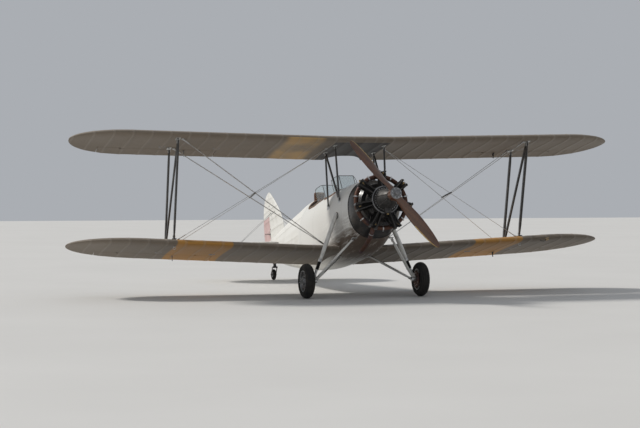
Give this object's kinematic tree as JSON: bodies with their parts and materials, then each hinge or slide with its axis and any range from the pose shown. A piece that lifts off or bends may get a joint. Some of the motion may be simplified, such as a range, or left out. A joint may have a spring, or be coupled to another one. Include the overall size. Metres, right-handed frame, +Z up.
{
  "type": "two-seat training biplane with an open radial engine",
  "caption": "Two-seat open-cockpit training biplane with an open radial engine, wooden propeller, wire-braced fabric wings, fixed gear and tail wheel.",
  "frame": {"origin": "middle of the parked aircraft on the ground, centre of its length and span", "axes": "+Z up, nose towards -Y, port side and longest extent along X"},
  "size_m": [8.9946, 7.4068, 2.587],
  "materials": {
    "white_fabric": "satin",
    "wing_fabric": "satin",
    "dark_paint": "satin",
    "white_struts": "satin",
    "dark_struts": "satin",
    "engine_metal": "satin",
    "exhaust_steel": "matte",
    "bright_steel": "polished",
    "grey_metal": "satin",
    "tyre_rubber": "matte",
    "varnished_wood": "gloss",
    "brown_leather": "satin",
    "clear_pane": "gloss"
  },
  "bodies": {
    "airframe": {"fuselage_front": "white_fabric", "fuselage_rear": "white_fabric", "tailplane": "white_fabric", "fin": "white_fabric", "upper_centre_section": "wing_fabric", "upper_wing_left": "wing_fabric", "upper_wing_right": "wing_fabric", "lower_wing_left": "wing_fabric", "lower_wing_right": "wing_fabric", "nose_fairing": "dark_paint", "instrument_panel_front": "dark_paint", "instrument_panel_rear": "dark_paint", "gear_front_strut_left": "white_struts", "gear_front_strut_right": "white_struts", "gear_rear_strut_left": "white_struts", "gear_rear_strut_right": "white_struts", "oleo_leg_left": "white_struts", "oleo_leg_right": "white_struts", "interplane_strut_left": "dark_struts", "interplane_strut_right": "dark_struts", "cabane_strut_left": "dark_struts", "cabane_strut_right": "dark_struts", "tailplane_strut_left": "dark_struts", "tailplane_strut_right": "dark_struts", "crankcase": "engine_metal", "cylinder_1": "engine_metal", "cylinder_2": "engine_metal", "cylinder_3": "engine_metal", "cylinder_4": "engine_metal", "cylinder_5": "engine_metal", "cylinder_6": "engine_metal", "cylinder_7": "engine_metal", "exhaust_ring": "exhaust_steel", "flying_wires_left": "bright_steel", "flying_wires_right": "bright_steel", "landing_wires_left": "bright_steel", "landing_wires_right": "bright_steel", "seat_front": "grey_metal", "seat_rear": "grey_metal", "headrest": "brown_leather", "seat_cushion_front": "brown_leather", "seat_cushion_rear": "brown_leather", "windscreen_front": "clear_pane", "windscreen_rear": "clear_pane"},
    "propeller": {"propeller": "varnished_wood", "propeller_hub": "bright_steel"},
    "wheel_left": {"tyre_left": "tyre_rubber", "wheel_left": "grey_metal"},
    "wheel_right": {"tyre_right": "tyre_rubber", "wheel_right": "grey_metal"},
    "tail_wheel_fork": {"tail_wheel_fork": "dark_struts"},
    "tail_wheel": {"tail_wheel": "tyre_rubber"},
    "rudder": {"rudder": "white_fabric"},
    "elevator": {"elevator": "white_fabric"},
    "lower_aileron_left": {"lower_aileron_left": "wing_fabric"},
    "lower_aileron_right": {"lower_aileron_right": "wing_fabric"},
    "upper_aileron_left": {"upper_aileron_left": "wing_fabric"},
    "upper_aileron_right": {"upper_aileron_right": "wing_fabric"}
  },
  "joints": [
    {"name": "propeller_spin", "type": "hinge", "parent": "airframe", "child": "propeller", "pos_m": [0, -3.53243, 1.61847], "axis": [0, 0.9781, -0.2079], "continuous": true},
    {"name": "wheel_left_spin", "type": "hinge", "parent": "airframe", "child": "wheel_left", "pos_m": [0.94, -2.14242, 0.27], "axis": [1, 0, 0], "continuous": true},
    {"name": "wheel_right_spin", "type": "hinge", "parent": "airframe", "child": "wheel_right", "pos_m": [-0.94, -2.14242, 0.27], "axis": [1, 0, 0], "continuous": true},
    {"name": "tail_wheel_swivel", "type": "hinge", "parent": "airframe", "child": "tail_wheel_fork", "pos_m": [0, 2.9478, 0.24105], "axis": [0, 0.2079, 0.9781], "range_deg": [-35, 35]},
    {"name": "tail_wheel_spin", "type": "hinge", "parent": "tail_wheel_fork", "child": "tail_wheel", "pos_m": [0, 3.03028, 0.1], "axis": [1, 0, 0], "continuous": true},
    {"name": "rudder_turn", "type": "hinge", "parent": "airframe", "child": "rudder", "pos_m": [0, 3.15692, 0.91224], "axis": [0, 0.2079, 0.9781], "range_deg": [-28, 28]},
    {"name": "elevator_turn", "type": "hinge", "parent": "airframe", "child": "elevator", "pos_m": [0, 2.99196, 0.56904], "axis": [1, 0, 0], "range_deg": [-25, 28]},
    {"name": "lower_aileron_left_turn", "type": "hinge", "parent": "airframe", "child": "lower_aileron_left", "pos_m": [2.15, -0.88533, 0.6497], "axis": [0.9956, 0.0811, 0.0468], "range_deg": [-20, 20]},
    {"name": "lower_aileron_right_turn", "type": "hinge", "parent": "airframe", "child": "lower_aileron_right", "pos_m": [-2.15, -0.88533, 0.6497], "axis": [-0.9956, 0.0811, 0.0468], "range_deg": [-20, 20]},
    {"name": "upper_aileron_left_turn", "type": "hinge", "parent": "airframe", "child": "upper_aileron_left", "pos_m": [2.15, -1.16806, 2.32323], "axis": [0.9968, 0.0765, 0.0247], "range_deg": [-20, 20]},
    {"name": "upper_aileron_right_turn", "type": "hinge", "parent": "airframe", "child": "upper_aileron_right", "pos_m": [-2.15, -1.16806, 2.32323], "axis": [-0.9968, 0.0765, 0.0247], "range_deg": [-20, 20]}
  ],
  "couplings": [
    {"joint": "lower_aileron_right_turn", "follows": "lower_aileron_left_turn", "ratio": 1},
    {"joint": "upper_aileron_left_turn", "follows": "lower_aileron_left_turn", "ratio": 1},
    {"joint": "upper_aileron_right_turn", "follows": "lower_aileron_left_turn", "ratio": 1}
  ]
}
